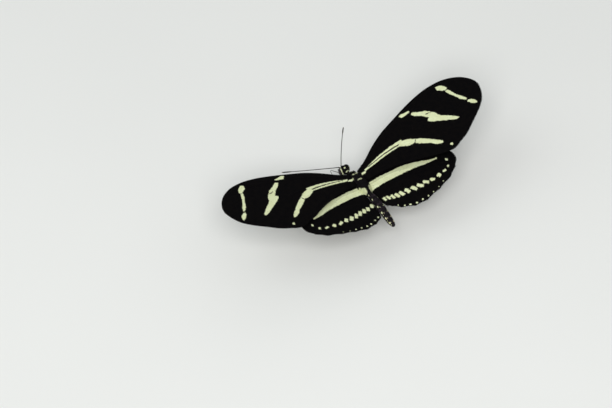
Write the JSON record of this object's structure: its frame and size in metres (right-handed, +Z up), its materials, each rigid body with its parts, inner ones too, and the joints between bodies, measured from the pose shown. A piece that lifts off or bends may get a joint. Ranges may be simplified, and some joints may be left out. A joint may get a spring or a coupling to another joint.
{
  "type": "zebra longwing butterfly",
  "caption": "Life-size butterfly standing on four legs with long narrow wings spread, slender abdomen, clubbed feelers and a bent tongue; still display model.",
  "frame": {"origin": "on the floor plane, under the centre of the model's box", "axes": "+Z up; +Y forwards, the way the head points; +X to the butterfly's own right, along the wings' span"},
  "size_m": [0.0862, 0.0392, 0.0234],
  "materials": {
    "body_coat": "short black hair and scales with cream spots",
    "abdomen_coat": "brown-black scales with a row of cream dots on each side",
    "eye": "glossy dark brown, finely faceted",
    "palp": "dark scales with cream hairs",
    "tongue": "dark brown, satin, finely ringed",
    "feeler": "black, ringed, satin",
    "wing": "velvet black scales with cream-yellow bands and spots, raised veins",
    "leg": "black scales over a hard skin"
  },
  "bodies": {
    "root": {"thorax": "body_coat", "abdomen": "abdomen_coat", "head": "body_coat", "eye_left": "eye", "eye_right": "eye", "palp_left": "palp", "palp_right": "palp", "proboscis": "tongue", "antenna_left": "feeler", "antenna_right": "feeler", "forewing_left": "wing", "forewing_right": "wing", "hindwing_left": "wing", "hindwing_right": "wing", "foreleg_left": "leg", "foreleg_right": "leg", "midleg_left": "leg", "midleg_right": "leg", "hindleg_left": "leg", "hindleg_right": "leg"}
  },
  "joints": []
}
